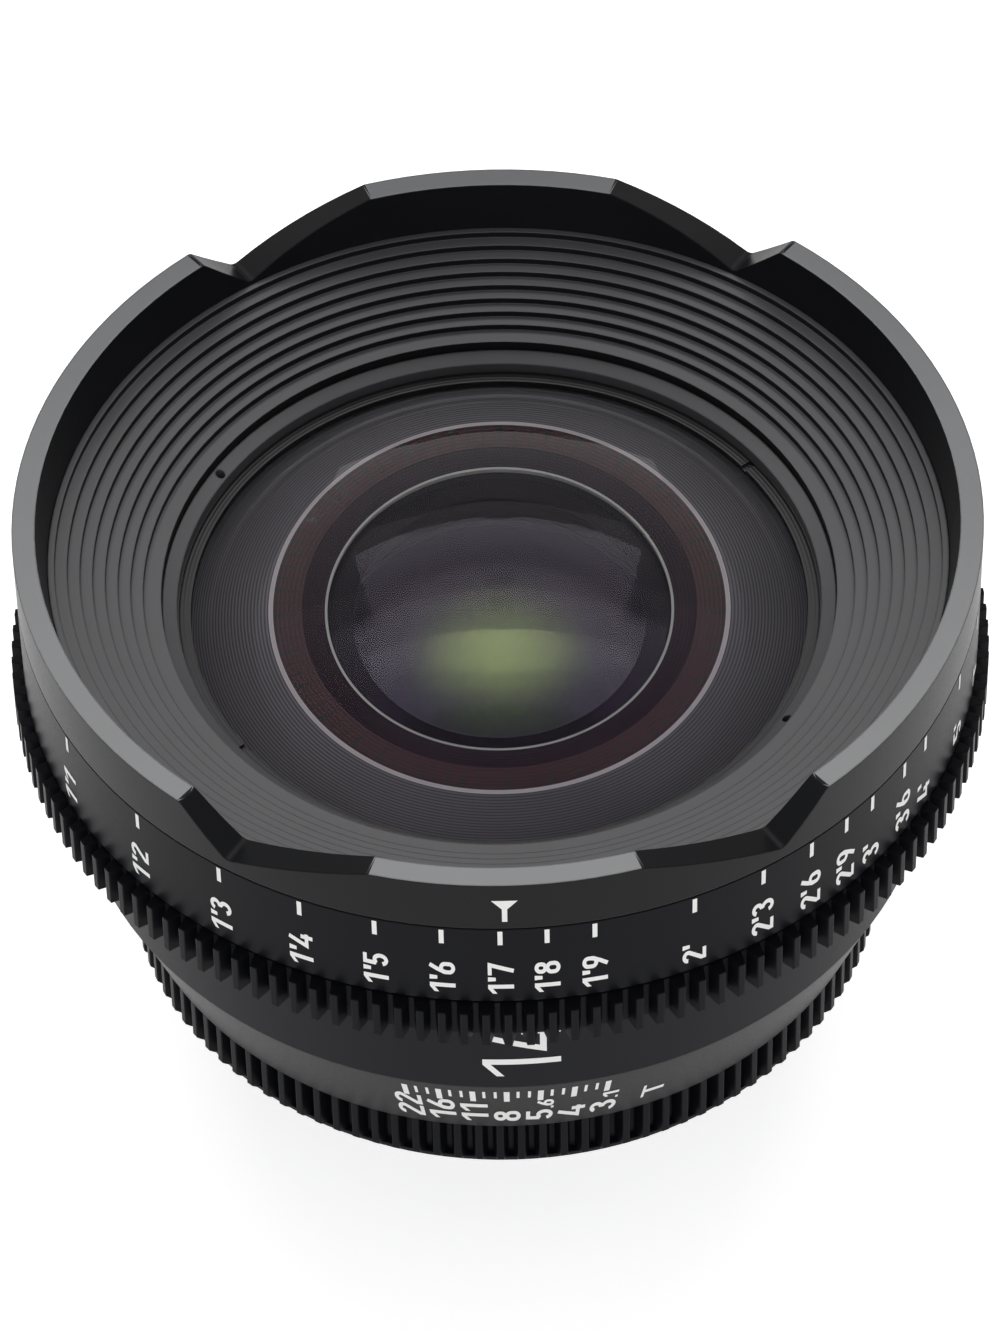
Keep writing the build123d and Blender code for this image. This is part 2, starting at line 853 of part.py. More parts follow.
with BuildPart() as focus_gear_ring:
    geared_band(focus_tooth_count, focus_gear_bore, focus_gear_z, gear_top_z)
    tube(focus_gear_bore, focus_neck_radius, gear_top_z, scale_ring_z)
    holes(
        ring_screw_radius,
        ring_screw_count,
        0,
        scale_ring_z - ring_screw_bite - free_gap,
        scale_ring_z,
        small_shank + fit_gap,
    )
finish(focus_gear_ring, "focus_gear_ring")

with BuildPart() as focus_ring_screws:
    pegs(
        ring_screw_radius,
        ring_screw_count,
        0,
        cam_flange_z,
        cam_flange_z + small_head_height,
        small_head,
    )
    pegs(
        ring_screw_radius,
        ring_screw_count,
        0,
        scale_ring_z - ring_screw_bite,
        cam_flange_z,
        small_shank,
    )
finish(focus_ring_screws, "focus_ring_screws")


def cam_slot(start_angle):
    """Helical slot through the sleeve, with a wider drilled hole at each of its ends."""
    middle = cam_bore + cam_wall / 2
    low_z = follower_z - far_travel
    lead = focus_travel * 360 / focus_turn_angle
    path = Helix(lead, focus_travel, middle, center=(0, 0, low_z), lefthand=True)
    path = path.rotate(Axis.Z, start_angle)
    with BuildSketch(Plane.XZ) as section:
        with Locations((middle, low_z)):
            Rectangle(cam_wall + overrun, 2 * follower_slot_half)
    sweep(section.sketch.rotate(Axis.Z, start_angle), path=path, is_frenet=True, mode=Mode.SUBTRACT)
    for angle, height in (
        (start_angle, low_z),
        (start_angle - focus_turn_angle, low_z + focus_travel),
    ):
        outward_peg(
            angle,
            height,
            cam_bore - overrun / 2,
            cam_radius + overrun / 2,
            follower_slot_half + cam_slot_relief,
            mode=Mode.SUBTRACT,
        )


with BuildPart() as focus_cam_sleeve:
    turned(
        (cam_bore, cam_foot_z),
        (cam_radius, cam_foot_z),
        (cam_radius, scale_ledge_z),
        (cam_flange_radius, scale_ledge_z),
        (cam_flange_radius, cam_flange_z),
        (cam_radius, cam_flange_z),
        (cam_radius, cam_top_z),
        (cam_bore, cam_top_z),
    )
    for follower_angle in follower_angles:
        cam_slot(follower_angle + focus_turn_far_angle)
    holes(
        ring_screw_radius,
        ring_screw_count,
        0,
        scale_ledge_z,
        cam_flange_z,
        small_shank + fit_gap,
    )
    holes(
        stop_pin_circle,
        stop_pin_count,
        stop_pin_angle,
        cam_flange_z - stop_pin_bite,
        cam_flange_z,
        stop_pin_radius,
    )
finish(focus_cam_sleeve, "focus_cam_sleeve")

with BuildPart() as focus_stop_pin:
    pegs(
        stop_pin_circle,
        stop_pin_count,
        stop_pin_angle,
        cam_flange_z - stop_pin_bite,
        cam_flange_z + stop_pin_height,
        stop_pin_radius,
    )
finish(focus_stop_pin, "focus_stop_pin")

# Focusing group: a cell that slides in the guide barrel, its glass, and two followers
with BuildPart() as focus_cell:
    turned(
        (focus_bore - seat_width, focus_hub_z),
        (focus_hub_radius, focus_hub_z),
        (focus_hub_radius, focus_web_z),
        (focus_band_bore, focus_web_z),
        (focus_band_bore, focus_band_z),
        (focus_band_radius, focus_band_z),
        (focus_band_radius, focus_band_top_z),
        (focus_band_bore, focus_band_top_z),
        (focus_band_bore, focus_web_z + focus_web_thickness),
        (focus_hub_radius, focus_web_z + focus_web_thickness),
        (focus_hub_radius, focus_hub_top_z),
        (focus_bore, focus_hub_top_z),
        (focus_bore, focus_seat_z),
        (focus_bore - seat_width, focus_seat_z),
    )
    for angle in follower_angles:
        outward_peg(
            angle,
            follower_z,
            focus_band_radius - follower_bite,
            focus_band_radius,
            follower_radius,
            mode=Mode.SUBTRACT,
        )
finish(focus_cell, "focus_cell")

with BuildPart() as focus_followers:
    for angle in follower_angles:
        outward_peg(
            angle,
            follower_z,
            focus_band_radius - follower_bite,
            cam_radius - follower_inset,
            follower_radius,
        )
finish(focus_followers, "focus_followers")

with BuildPart() as focus_doublet_rear:
    glass(
        focus_glass_radius,
        focus_seat_z,
        focus_join_z,
        back=(focus_opening, focus_doublet_back_rise),
        front=(focus_glass_radius, focus_doublet_join_rise),
    )
finish(focus_doublet_rear, "focus_doublet_rear")

with BuildPart() as focus_doublet_front:
    glass(
        focus_glass_radius,
        focus_join_z,
        focus_spacer_z,
        back=(focus_glass_radius, focus_doublet_join_rise),
        front=(focus_opening, focus_doublet_rise),
    )
finish(focus_doublet_front, "focus_doublet_front")

with BuildPart() as focus_spacer:
    tube(focus_opening + fit_gap, focus_glass_radius, focus_spacer_z, focus_front_z)
finish(focus_spacer, "focus_spacer")

with BuildPart() as focus_element_front:
    glass(
        focus_glass_radius,
        focus_front_z,
        focus_front_top_z,
        back=(focus_opening, focus_glass_back_rise),
        front=(focus_opening, focus_glass_rise),
    )
finish(focus_element_front, "focus_element_front")

with BuildPart() as focus_retainer:
    tube(focus_opening + fit_gap, focus_glass_radius, focus_front_top_z, focus_hub_top_z)
finish(focus_retainer, "focus_retainer")

# Main barrel: the visible sleeve, the ledge under the guide barrel and the iris ring's journal
with BuildPart() as main_barrel:
    turned(
        (shoulder_bore, rear_barrel_top_z),
        (journal_radius, rear_barrel_top_z),
        (journal_radius, ledge_z),
        (barrel_radius, ledge_z),
        (barrel_radius, barrel_top_z),
        (barrel_bore, barrel_top_z),
        (barrel_bore, ledge_top_z),
        (journal_bore, ledge_top_z),
        (journal_bore, plate_z),
        (shoulder_bore, plate_z),
    )
    sector(
        journal_bore - overrun / 2,
        journal_radius + overrun / 2,
        drive_screw_z - drive_screw_radius - free_gap,
        drive_screw_z + drive_screw_radius + free_gap,
        drive_screw_angle - drive_slot_half_angle,
        2 * drive_slot_half_angle,
        mode=Mode.SUBTRACT,
    )
    holes(
        guide_screw_radius,
        guide_screw_count,
        0,
        ledge_top_z - guide_screw_bite,
        ledge_top_z,
        tiny_shank + fit_gap,
    )
    holes(
        rear_barrel_screw_radius,
        rear_barrel_screw_count,
        0,
        rear_barrel_top_z,
        rear_barrel_top_z + rear_barrel_screw_bite,
        small_shank + fit_gap,
    )
finish(main_barrel, "main_barrel")

# Iris ring: a cone with the scale, and a gear with bevelled lower corners
with BuildPart() as iris_ring:
    geared_band(iris_tooth_count, iris_bore, iris_gear_z, iris_gear_top_z)
    turned(
        (iris_tip_radius - iris_bevel, iris_gear_z),
        (iris_tip_radius + overrun, iris_gear_z),
        (iris_tip_radius + overrun, iris_gear_z + iris_bevel + overrun),
        mode=Mode.SUBTRACT,
    )
    turned(
        (iris_bore, iris_gear_top_z),
        (iris_cone_small_radius, iris_gear_top_z),
        (iris_top_radius, iris_top_z),
        (iris_bore, iris_top_z),
    )
    outward_peg(
        drive_screw_angle,
        drive_screw_z,
        iris_bore - overrun / 2,
        barrel_radius,
        drive_screw_radius + fit_gap,
        mode=Mode.SUBTRACT,
    )
finish(iris_ring, "iris_ring")

with BuildPart() as iris_drive_screw:
    outward_peg(
        drive_screw_angle,
        drive_screw_z,
        rotor_arm_radius - drive_screw_overlap,
        iris_cone_middle_radius - drive_screw_recess,
        drive_screw_radius,
    )
finish(iris_drive_screw, "iris_drive_screw")

# Iris plate: pivot holes for the blades, and a rim that centres the rotor
with BuildPart() as iris_plate:
    tube(blade_edge_radius, journal_bore - fit_gap, plate_z, plate_top_z)
    sector(
        plate_rim_bore,
        plate_rim_radius,
        plate_top_z - fit_gap,
        retainer_z,
        drive_screw_angle + rim_gap_half_angle,
        360 - 2 * rim_gap_half_angle,
    )
    holes(pivot_radius, blade_count, 0, plate_z, plate_top_z, stud_radius + running_gap)
    holes(
        iris_screw_radius,
        iris_screw_count,
        iris_screw_angle,
        retainer_z - iris_screw_bite,
        retainer_z,
        tiny_shank + fit_gap,
    )
    holes(
        rear_screw_radius,
        rear_screw_count,
        rear_screw_angle,
        plate_z,
        plate_z + rear_screw_bite,
        tiny_shank + fit_gap,
    )
finish(iris_plate, "iris_plate")

with BuildPart() as iris_lock_ring:
    tube(
        journal_bore - lock_ring_width,
        journal_bore - fit_gap,
        plate_top_z,
        plate_top_z + lock_ring_height,
    )
finish(iris_lock_ring, "iris_lock_ring")


def drive_point(share):
    """Place of a blade's drive stud on the rotor, from wide open (0) to fully stopped down (1)."""
    blade_turn = radians(blade_turn_angle * share - tail_angle)
    rotor_turn = radians(iris_turn_angle * (share - middle_share))
    along = pivot_radius + tail_length * sin(blade_turn)
    across = -tail_length * cos(blade_turn)
    return (
        along * cos(rotor_turn) + across * sin(rotor_turn),
        across * cos(rotor_turn) - along * sin(rotor_turn),
    )


# Blades: a crescent that swings about a pivot stud, and a drive stud on a short tail
for number in range(blade_count):
    low_z = blade_z + number * blade_pitch
    azimuth = radians(number * blade_angle)
    pivot = (pivot_radius * cos(azimuth), pivot_radius * sin(azimuth))
    rest_turn = azimuth + radians(blade_turn_angle * middle_share)
    blade_x = (cos(rest_turn), sin(rest_turn), 0)
    blade_plane = Plane(origin=(*pivot, low_z), x_dir=blade_x, z_dir=(0, 0, 1))
    centre = (-pivot_radius, 0)
    tail = (-tail_length * sin(radians(tail_angle)), -tail_length * cos(radians(tail_angle)))
    with BuildPart() as iris_blade:
        with BuildSketch(blade_plane) as leaf:
            with BuildLine():
                outer = CenterArc(centre, blade_outer_radius, 0, blade_sweep_angle)
                inner = CenterArc(centre, blade_edge_radius, 0, blade_sweep_angle)
                Line(outer @ 0, inner @ 0)
                Line(outer @ 1, inner @ 1)
            make_face()
            SlotCenterPoint((tail[0] / 2, tail[1] / 2), tail, 2 * tail_half_width)
            with BuildLine():
                Polyline(
                    (0, -lobe_radius),
                    (0, lobe_radius),
                    (-pivot_outset - lobe_radius, blade_width),
                    (-pivot_outset - lobe_radius, 0),
                    close=True,
                )
            make_face()
            Circle(lobe_radius)
        extrude(leaf.sketch, amount=blade_thickness)
        with BuildSketch(blade_plane) as pivot_stud:
            Circle(stud_radius)
        extrude(pivot_stud.sketch, amount=plate_z + stud_floor_gap - low_z)
        with BuildSketch(blade_plane) as drive_stud:
            with Locations(tail):
                Circle(stud_radius)
        extrude(drive_stud.sketch, amount=rotor_top_z - stud_floor_gap - low_z)
    finish(iris_blade, f"iris_blade_{number + 1:02d}")

# Rotor: one curved slot for each drive stud, and a forked arm that the drive screw pushes
with BuildPart() as iris_rotor:
    tube(rotor_bore, rotor_radius, rotor_z, rotor_top_z)
    with BuildSketch(level(rotor_z)) as arm:
        with Locations((0, (rotor_arm_radius + rotor_inner_share * rotor_radius) / 2)):
            Rectangle(rotor_arm_width, rotor_arm_radius - rotor_inner_share * rotor_radius)
        with Locations((0, rotor_arm_radius)):
            Rectangle(
                2 * (drive_screw_radius + running_gap),
                2 * fork_depth,
                mode=Mode.SUBTRACT,
            )
    extrude(arm.sketch, amount=rotor_thickness)
    with BuildLine() as slot_path:
        ThreePointArc(
            drive_point(-slot_end_share),
            drive_point(middle_share),
            drive_point(1 + slot_end_share),
        )
    with BuildSketch(level(rotor_z)) as slots:
        with PolarLocations(0, blade_count):
            SlotArc(slot_path.edge(), 2 * (stud_radius + slot_clearance))
    extrude(slots.sketch, amount=rotor_thickness, mode=Mode.SUBTRACT)
finish(iris_rotor, "iris_rotor")

with BuildPart() as iris_retainer:
    tube(
        rotor_radius - retainer_overlap,
        plate_rim_radius,
        retainer_z,
        retainer_z + retainer_thickness,
    )
    holes(
        iris_screw_radius,
        iris_screw_count,
        iris_screw_angle,
        retainer_z,
        retainer_z + retainer_thickness,
        tiny_shank + fit_gap,
    )
finish(iris_retainer, "iris_retainer")

with BuildPart() as iris_screws:
    pegs(
        iris_screw_radius,
        iris_screw_count,
        iris_screw_angle,
        retainer_z + retainer_thickness,
        retainer_z + retainer_thickness + tiny_head_height,
        tiny_head,
    )
    pegs(
        iris_screw_radius,
        iris_screw_count,
        iris_screw_angle,
        retainer_z - iris_screw_bite,
        retainer_z + retainer_thickness,
        tiny_shank,
    )
finish(iris_screws, "iris_screws")

# Rear group: a cell hung under the iris plate, with four pieces of glass and two spacers
with BuildPart() as rear_cell:
    turned(
        (rear_opening + fit_gap, rear_flange_z),
        (rear_cell_bore, rear_flange_z),
        (rear_cell_bore, rear_cell_z),
        (rear_cell_radius, rear_cell_z),
        (rear_cell_radius, rear_flange_z),
        (rear_cell_flange_radius, rear_flange_z),
        (rear_cell_flange_radius, plate_z),
        (rear_opening + fit_gap, plate_z),
    )
    holes(
        rear_screw_radius,
        rear_screw_count,
        rear_screw_angle,
        rear_flange_z,
        plate_z,
        tiny_shank + fit_gap,
    )
finish(rear_cell, "rear_cell")

with BuildPart() as rear_cell_screws:
    pegs(
        rear_screw_radius,
        rear_screw_count,
        rear_screw_angle,
        rear_flange_z - tiny_head_height,
        rear_flange_z,
        tiny_head,
    )
    pegs(
        rear_screw_radius,
        rear_screw_count,
        rear_screw_angle,
        rear_flange_z,
        plate_z + rear_screw_bite,
        tiny_shank,
    )
finish(rear_cell_screws, "rear_cell_screws")

with BuildPart() as rear_element_front:
    glass(
        rear_glass_radius,
        rear_front_z,
        rear_flange_z,
        back=(rear_opening, rear_front_back_rise),
        front=(rear_opening, rear_front_rise),
    )
finish(rear_element_front, "rear_element_front")

with BuildPart() as rear_spacer_front:
    tube(rear_opening + fit_gap, rear_glass_radius, rear_doublet_top_z, rear_front_z)
finish(rear_spacer_front, "rear_spacer_front")

with BuildPart() as rear_doublet_front:
    glass(
        rear_glass_radius,
        rear_join_z,
        rear_doublet_top_z,
        back=(rear_glass_radius, rear_doublet_join_rise),
        front=(rear_opening, rear_doublet_rise),
    )
finish(rear_doublet_front, "rear_doublet_front")

with BuildPart() as rear_doublet_rear:
    glass(
        rear_glass_radius,
        rear_doublet_z,
        rear_join_z,
        back=(rear_opening, rear_doublet_back_rise),
        front=(rear_glass_radius, rear_doublet_join_rise),
    )
finish(rear_doublet_rear, "rear_doublet_rear")

with BuildPart() as rear_spacer_rear:
    tube(rear_opening + fit_gap, rear_glass_radius, rear_last_top_z, rear_doublet_z)
finish(rear_spacer_rear, "rear_spacer_rear")

with BuildPart() as rear_element:
    glass(
        rear_glass_radius,
        rear_last_z,
        rear_last_top_z,
        back=(rear_opening, rear_last_back_rise),
        front=(rear_opening, rear_last_rise),
    )
finish(rear_element, "rear_element")

with BuildPart() as rear_retainer:
    tube(rear_opening + fit_gap, rear_glass_radius, rear_ring_z, rear_last_z)
finish(rear_retainer, "rear_retainer")

# Rear barrel: closes the lens behind the iris gear and carries the mount
with BuildPart() as rear_barrel:
    turned(
        (rear_barrel_bore, rear_barrel_z),
        (rear_barrel_foot_radius, rear_barrel_z),
        (rear_barrel_radius, rear_barrel_top_z - rear_barrel_band),
        (rear_barrel_radius, rear_barrel_top_z),
        (rear_barrel_bore, rear_barrel_top_z),
    )
    holes(
        rear_barrel_screw_radius,
        rear_barrel_screw_count,
        0,
        rear_barrel_z,
        rear_barrel_top_z,
        small_shank + fit_gap,
    )
    holes(
        rear_barrel_screw_radius,
        rear_barrel_screw_count,
        0,
        rear_barrel_z,
        rear_barrel_z + small_head_height + fit_gap,
        small_head + fit_gap,
    )
    holes(
        mount_screw_radius,
        mount_screw_count,
        0,
        rear_barrel_z,
        rear_barrel_z + mount_screw_bite,
        small_shank + fit_gap,
    )
finish(rear_barrel, "rear_barrel")

with BuildPart() as rear_barrel_screws:
    pegs(
        rear_barrel_screw_radius,
        rear_barrel_screw_count,
        0,
        rear_barrel_z + fit_gap,
        rear_barrel_z + small_head_height + fit_gap,
        small_head,
    )
    pegs(
        rear_barrel_screw_radius,
        rear_barrel_screw_count,
        0,
        rear_barrel_z + small_head_height,
        rear_barrel_top_z + rear_barrel_screw_bite,
        small_shank,
    )
finish(rear_barrel_screws, "rear_barrel_screws")

with BuildPart() as mount_shim:
    tube(shim_bore, mount_plate_radius, mount_top_z, rear_barrel_z)
    holes(
        mount_screw_radius,
        mount_screw_count,
        0,
        mount_top_z,
        rear_barrel_z,
        small_shank + fit_gap,
    )
finish(mount_shim, "mount_shim")

# Mount: four lugs against the camera's seat, and a long spigot behind them
with BuildPart() as lens_mount:
    turned(
        (spigot_bore, -spigot_length),
        (spigot_radius - spigot_chamfer, -spigot_length),
        (spigot_radius, spigot_chamfer - spigot_length),
        (spigot_radius, 0),
        (lug_root_radius, 0),
        (lug_root_radius, lug_thickness),
        (mount_neck_radius, lug_thickness),
        (mount_neck_radius, mount_plate_z),
        (mount_plate_radius, mount_plate_z),
        (mount_plate_radius, mount_top_z),
        (spigot_bore, mount_top_z),
    )
    for lug in range(lug_count):
        sector(
            lug_root_radius - fit_gap,
            lug_radius,
            0,
            lug_thickness,
            lug_first_angle + lug * 360 / lug_count - lug_sweep_angle / 2,
            lug_sweep_angle,
        )
    with BuildSketch(Plane.XY) as notch:
        with Locations(Rotation(0, 0, lug_first_angle) * Location((lug_radius, 0))):
            Rectangle(2 * lug_notch_depth, lug_notch_width)
    extrude(notch.sketch, amount=lug_thickness, mode=Mode.SUBTRACT)
    holes(
        mount_screw_radius,
        mount_screw_count,
        0,
        mount_plate_z,
        mount_top_z,
        small_shank + fit_gap,
    )
    holes(
        mount_screw_radius,
        mount_screw_count,
        0,
        mount_plate_z,
        mount_plate_z + small_head_height + fit_gap,
        small_head + fit_gap,
    )
finish(lens_mount, "lens_mount")

with BuildPart() as mount_screws:
    pegs(
        mount_screw_radius,
        mount_screw_count,
        0,
        mount_plate_z + fit_gap,
        mount_plate_z + small_head_height + fit_gap,
        small_head,
    )
    pegs(
        mount_screw_radius,
        mount_screw_count,
        0,
        mount_plate_z + small_head_height,
        rear_barrel_z + mount_screw_bite,
        small_shank,
    )
finish(mount_screws, "mount_screws")
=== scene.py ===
import json
from math import atan2, cos, hypot, pi, radians, sin

import bmesh
import bpy
from mathutils import Matrix, Vector


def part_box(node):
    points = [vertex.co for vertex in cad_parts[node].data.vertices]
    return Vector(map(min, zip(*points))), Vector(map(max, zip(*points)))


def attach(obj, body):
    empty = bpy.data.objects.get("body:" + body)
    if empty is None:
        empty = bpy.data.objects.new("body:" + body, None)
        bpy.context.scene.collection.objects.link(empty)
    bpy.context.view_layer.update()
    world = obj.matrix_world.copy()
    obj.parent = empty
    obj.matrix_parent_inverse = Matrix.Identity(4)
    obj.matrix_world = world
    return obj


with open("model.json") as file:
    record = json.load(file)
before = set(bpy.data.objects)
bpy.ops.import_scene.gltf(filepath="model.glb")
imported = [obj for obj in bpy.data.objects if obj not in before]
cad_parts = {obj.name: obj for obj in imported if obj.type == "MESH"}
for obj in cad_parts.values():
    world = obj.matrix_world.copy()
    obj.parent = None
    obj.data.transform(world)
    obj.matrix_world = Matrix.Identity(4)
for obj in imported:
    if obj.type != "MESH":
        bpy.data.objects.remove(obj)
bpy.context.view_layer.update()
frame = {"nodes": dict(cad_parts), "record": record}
nodes = frame["nodes"]
subparts = frame["record"]["subparts"]

# Sizes in metres, in the record's frame
FLOOR_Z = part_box("lens_mount")[0][2]
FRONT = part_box("petal_hood")[1][2]
HOOD_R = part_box("petal_hood")[1][0]
BARREL_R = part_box("main_barrel")[1][0]
CONE_TOP = (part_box("iris_ring")[1][0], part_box("iris_ring")[1][2])
CONE_FOOT = (0.0466, 0.0191)
GLASS_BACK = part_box("front_element")[0][2]
HOLLOW_R = 0.0231
HOLLOW_CHAMFER_R = 0.0238
SECOND_CHAMFER_R = 0.01752
LEDGE_R = 0.03


def new_material(name):
    material = bpy.data.materials.new(name)
    material.use_nodes = True
    tree = material.node_tree
    return material, tree, tree.nodes["Principled BSDF"]


def node(tree, kind, **values):
    made = tree.nodes.new(kind)
    for key, value in values.items():
        if key in made.inputs:
            made.inputs[key].default_value = value
        else:
            setattr(made, key, value)
    return made


def math_node(tree, operation, *values):
    made = node(tree, "ShaderNodeMath", operation=operation)
    for slot, value in enumerate(values):
        if isinstance(value, (int, float)):
            made.inputs[slot].default_value = value
        else:
            tree.links.new(value, made.inputs[slot])
    return made.outputs[0]


def position(tree):
    return node(tree, "ShaderNodeTexCoord").outputs["Object"]


def radius_and_height(tree):
    parts = node(tree, "ShaderNodeSeparateXYZ")
    tree.links.new(position(tree), parts.inputs[0])
    x, y, height = parts.outputs
    square = math_node(tree, "ADD", math_node(tree, "MULTIPLY", x, x), math_node(tree, "MULTIPLY", y, y))
    return math_node(tree, "SQRT", square), height


def turned_lines(tree, pitch, along):
    """Fine lathe lines round the axis, as a height from 0 to 1."""
    radius, height = radius_and_height(tree)
    length = height if along == "height" else radius
    if along == "both":
        length = math_node(tree, "ADD", radius, height)
    wave = math_node(tree, "SINE", math_node(tree, "MULTIPLY", length, 2 * pi / pitch))
    return math_node(tree, "MULTIPLY_ADD", wave, 0.5, 0.5)


def grain(tree, scale, detail=3.0):
    noise = node(tree, "ShaderNodeTexNoise", Scale=scale, Detail=detail)
    tree.links.new(position(tree), noise.inputs["Vector"])
    return noise.outputs["Fac"]


def spread(tree, factor, low, high):
    ramp = node(tree, "ShaderNodeMapRange")
    ramp.inputs["To Min"].default_value = low
    ramp.inputs["To Max"].default_value = high
    tree.links.new(factor, ramp.inputs["Value"])
    return ramp.outputs["Result"]


def bump(tree, shader, height, strength, distance, normal=None):
    made = node(tree, "ShaderNodeBump", Strength=strength, Distance=distance)
    tree.links.new(height, made.inputs["Height"])
    if normal is not None:
        tree.links.new(normal, made.inputs["Normal"])
    tree.links.new(made.outputs["Normal"], shader.inputs["Normal"])


def mix_colours(tree, factor, first, second):
    """Each colour is three numbers or the output of a node."""
    mix = node(tree, "ShaderNodeMix", data_type="RGBA")
    tree.links.new(factor, mix.inputs["Factor"])
    for slot, colour in (("A", first), ("B", second)):
        if isinstance(colour, tuple):
            mix.inputs[slot].default_value = (*colour, 1)
        else:
            tree.links.new(colour, mix.inputs[slot])
    return mix.outputs["Result"]


BLAST_SCALE = 2500
BLAST_DEPTH = 0.000004
SOFT_EDGE = 0.0003


def anodised(name, dark, light, rough, sheen):
    """Black anodised metal: fine blasted grain, uneven sheen and edges that catch the light."""
    material, tree, shader = new_material(name)
    blast = grain(tree, BLAST_SCALE)
    tree.links.new(mix_colours(tree, grain(tree, 60), dark, light), shader.inputs["Base Color"])
    tree.links.new(spread(tree, blast, *rough), shader.inputs["Roughness"])
    shader.inputs["Specular IOR Level"].default_value = sheen
    rounded = node(tree, "ShaderNodeBevel", Radius=SOFT_EDGE, samples=4)
    bump(tree, shader, blast, 0.35, BLAST_DEPTH, rounded.outputs["Normal"])
    return material


def lined(name, dark, light, rough, sheen, pitch, depth, along, metallic=0.0):
    """Turned metal with visible lathe lines."""
    material, tree, shader = new_material(name)
    tree.links.new(mix_colours(tree, grain(tree, 90), dark, light), shader.inputs["Base Color"])
    tree.links.new(spread(tree, grain(tree, 1800), *rough), shader.inputs["Roughness"])
    shader.inputs["Specular IOR Level"].default_value = sheen
    shader.inputs["Metallic"].default_value = metallic
    bump(tree, shader, turned_lines(tree, pitch, along), 0.6, depth)
    return material


def coated(name, tint, film, index):
    """Lens glass whose coating leaves a faint coloured reflection."""
    material, tree, shader = new_material(name)
    tree.links.new(spread(tree, grain(tree, 900), 0.008, 0.02), shader.inputs["Roughness"])
    shader.inputs["Base Color"].default_value = (*tint, 1)
    shader.inputs["Transmission Weight"].default_value = 1.0
    shader.inputs["IOR"].default_value = index
    shader.inputs["Specular Tint"].default_value = (*film, 1)
    return material


def painted_glow_near_axis(material, reach, outside, centre):
    """Painted reflection: colours the coating's reflection by its distance from the axis, bright near it, a
    painted glow in the middle of the lens.
    """
    tree = material.node_tree
    near_axis = node(tree, "ShaderNodeMapRange", interpolation_type="SMOOTHSTEP")
    near_axis.inputs["From Min"].default_value = reach
    near_axis.inputs["From Max"].default_value = 0.0
    tree.links.new(radius_and_height(tree)[0], near_axis.inputs["Value"])
    film = mix_colours(tree, near_axis.outputs["Result"], outside, centre)
    tree.links.new(film, tree.nodes["Principled BSDF"].inputs["Specular Tint"])


def seat(name, dark, light, pitch, sheen, chamfer_radius=None, chamfer=None):
    """Flat turned face with fine rings, and where asked a thin bright chamfer at its bore."""
    material, tree, shader = new_material(name)
    lines = turned_lines(tree, pitch, "radius")
    patches = grain(tree, 35, 1.0)
    colour = mix_colours(tree, math_node(tree, "MULTIPLY", lines, patches), dark, light)
    if chamfer:
        at_bore = math_node(tree, "LESS_THAN", radius_and_height(tree)[0], chamfer_radius)
        colour = mix_colours(tree, at_bore, colour, chamfer)
    tree.links.new(colour, shader.inputs["Base Color"])
    tree.links.new(spread(tree, grain(tree, 1500), 0.35, 0.5), shader.inputs["Roughness"])
    shader.inputs["Specular IOR Level"].default_value = sheen
    bump(tree, shader, lines, 0.5, 0.00003)
    return material


def paint(name, dark, light):
    """Matt paint of the marks and numbers."""
    material, tree, shader = new_material(name)
    speck = grain(tree, 1500)
    tree.links.new(mix_colours(tree, speck, dark, light), shader.inputs["Base Color"])
    tree.links.new(spread(tree, speck, 0.45, 0.65), shader.inputs["Roughness"])
    bump(tree, shader, speck, 0.3, 0.000005)
    return material


# Black metals: darkest and lightest colour, roughness from and to, and how much they reflect
hood_metal = anodised("hood_metal", (0.004, 0.0042, 0.005), (0.007, 0.0073, 0.0085), (0.26, 0.4), 0.1)
# Painted light: the hood's flat rim faces get a much lighter colour and a stronger reflection than the rest
# of the hood, standing in for the light the rim catches
rim_painted_light = anodised("rim_painted_light", (0.05, 0.052, 0.056), (0.075, 0.077, 0.082), (0.16, 0.24), 1.0)
# Painted light: the baffle's treads are much lighter than the other blacks, standing in for the light their
# shiny faces catch
tread_painted_light = anodised("tread_painted_light", (0.046, 0.046, 0.05), (0.066, 0.066, 0.071), (0.3, 0.42), 0.45)
# Painted shade: the baffle's risers get a near black copy of the same metal, for the shade between the
# treads
riser_painted_shade = anodised("riser_painted_shade", (0.004, 0.004, 0.0045), (0.008, 0.008, 0.009), (0.4, 0.55), 0.15)
ring_metal = anodised("ring_metal", (0.004, 0.0042, 0.0055), (0.006, 0.0063, 0.008), (0.28, 0.42), 0.05)
barrel_metal = anodised("barrel_metal", (0.0045, 0.0047, 0.007), (0.0075, 0.008, 0.011), (0.28, 0.42), 0.09)
blade_metal = anodised("blade_metal", (0.006, 0.006, 0.0065), (0.012, 0.012, 0.013), (0.4, 0.55), 0.3)
edge_black = anodised("edge_black", (0.004, 0.004, 0.0045), (0.009, 0.009, 0.01), (0.4, 0.6), 0.2)

# Turned metals: the same, then the pitch and depth of their lathe lines
inner_metal = lined(
    "inner_metal", (0.01, 0.01, 0.0105), (0.016, 0.016, 0.017), (0.32, 0.46), 0.3, 0.00045, 0.00004, "radius"
)
steel = lined("steel", (0.3, 0.3, 0.31), (0.42, 0.42, 0.43), (0.25, 0.4), 0.5, 0.0003, 0.000004, "both", 1.0)
brass = lined(
    "brass", (0.45, 0.31, 0.13), (0.6, 0.44, 0.2), (0.28, 0.42), 0.5, 0.0004, 0.000005, "height", 1.0
)

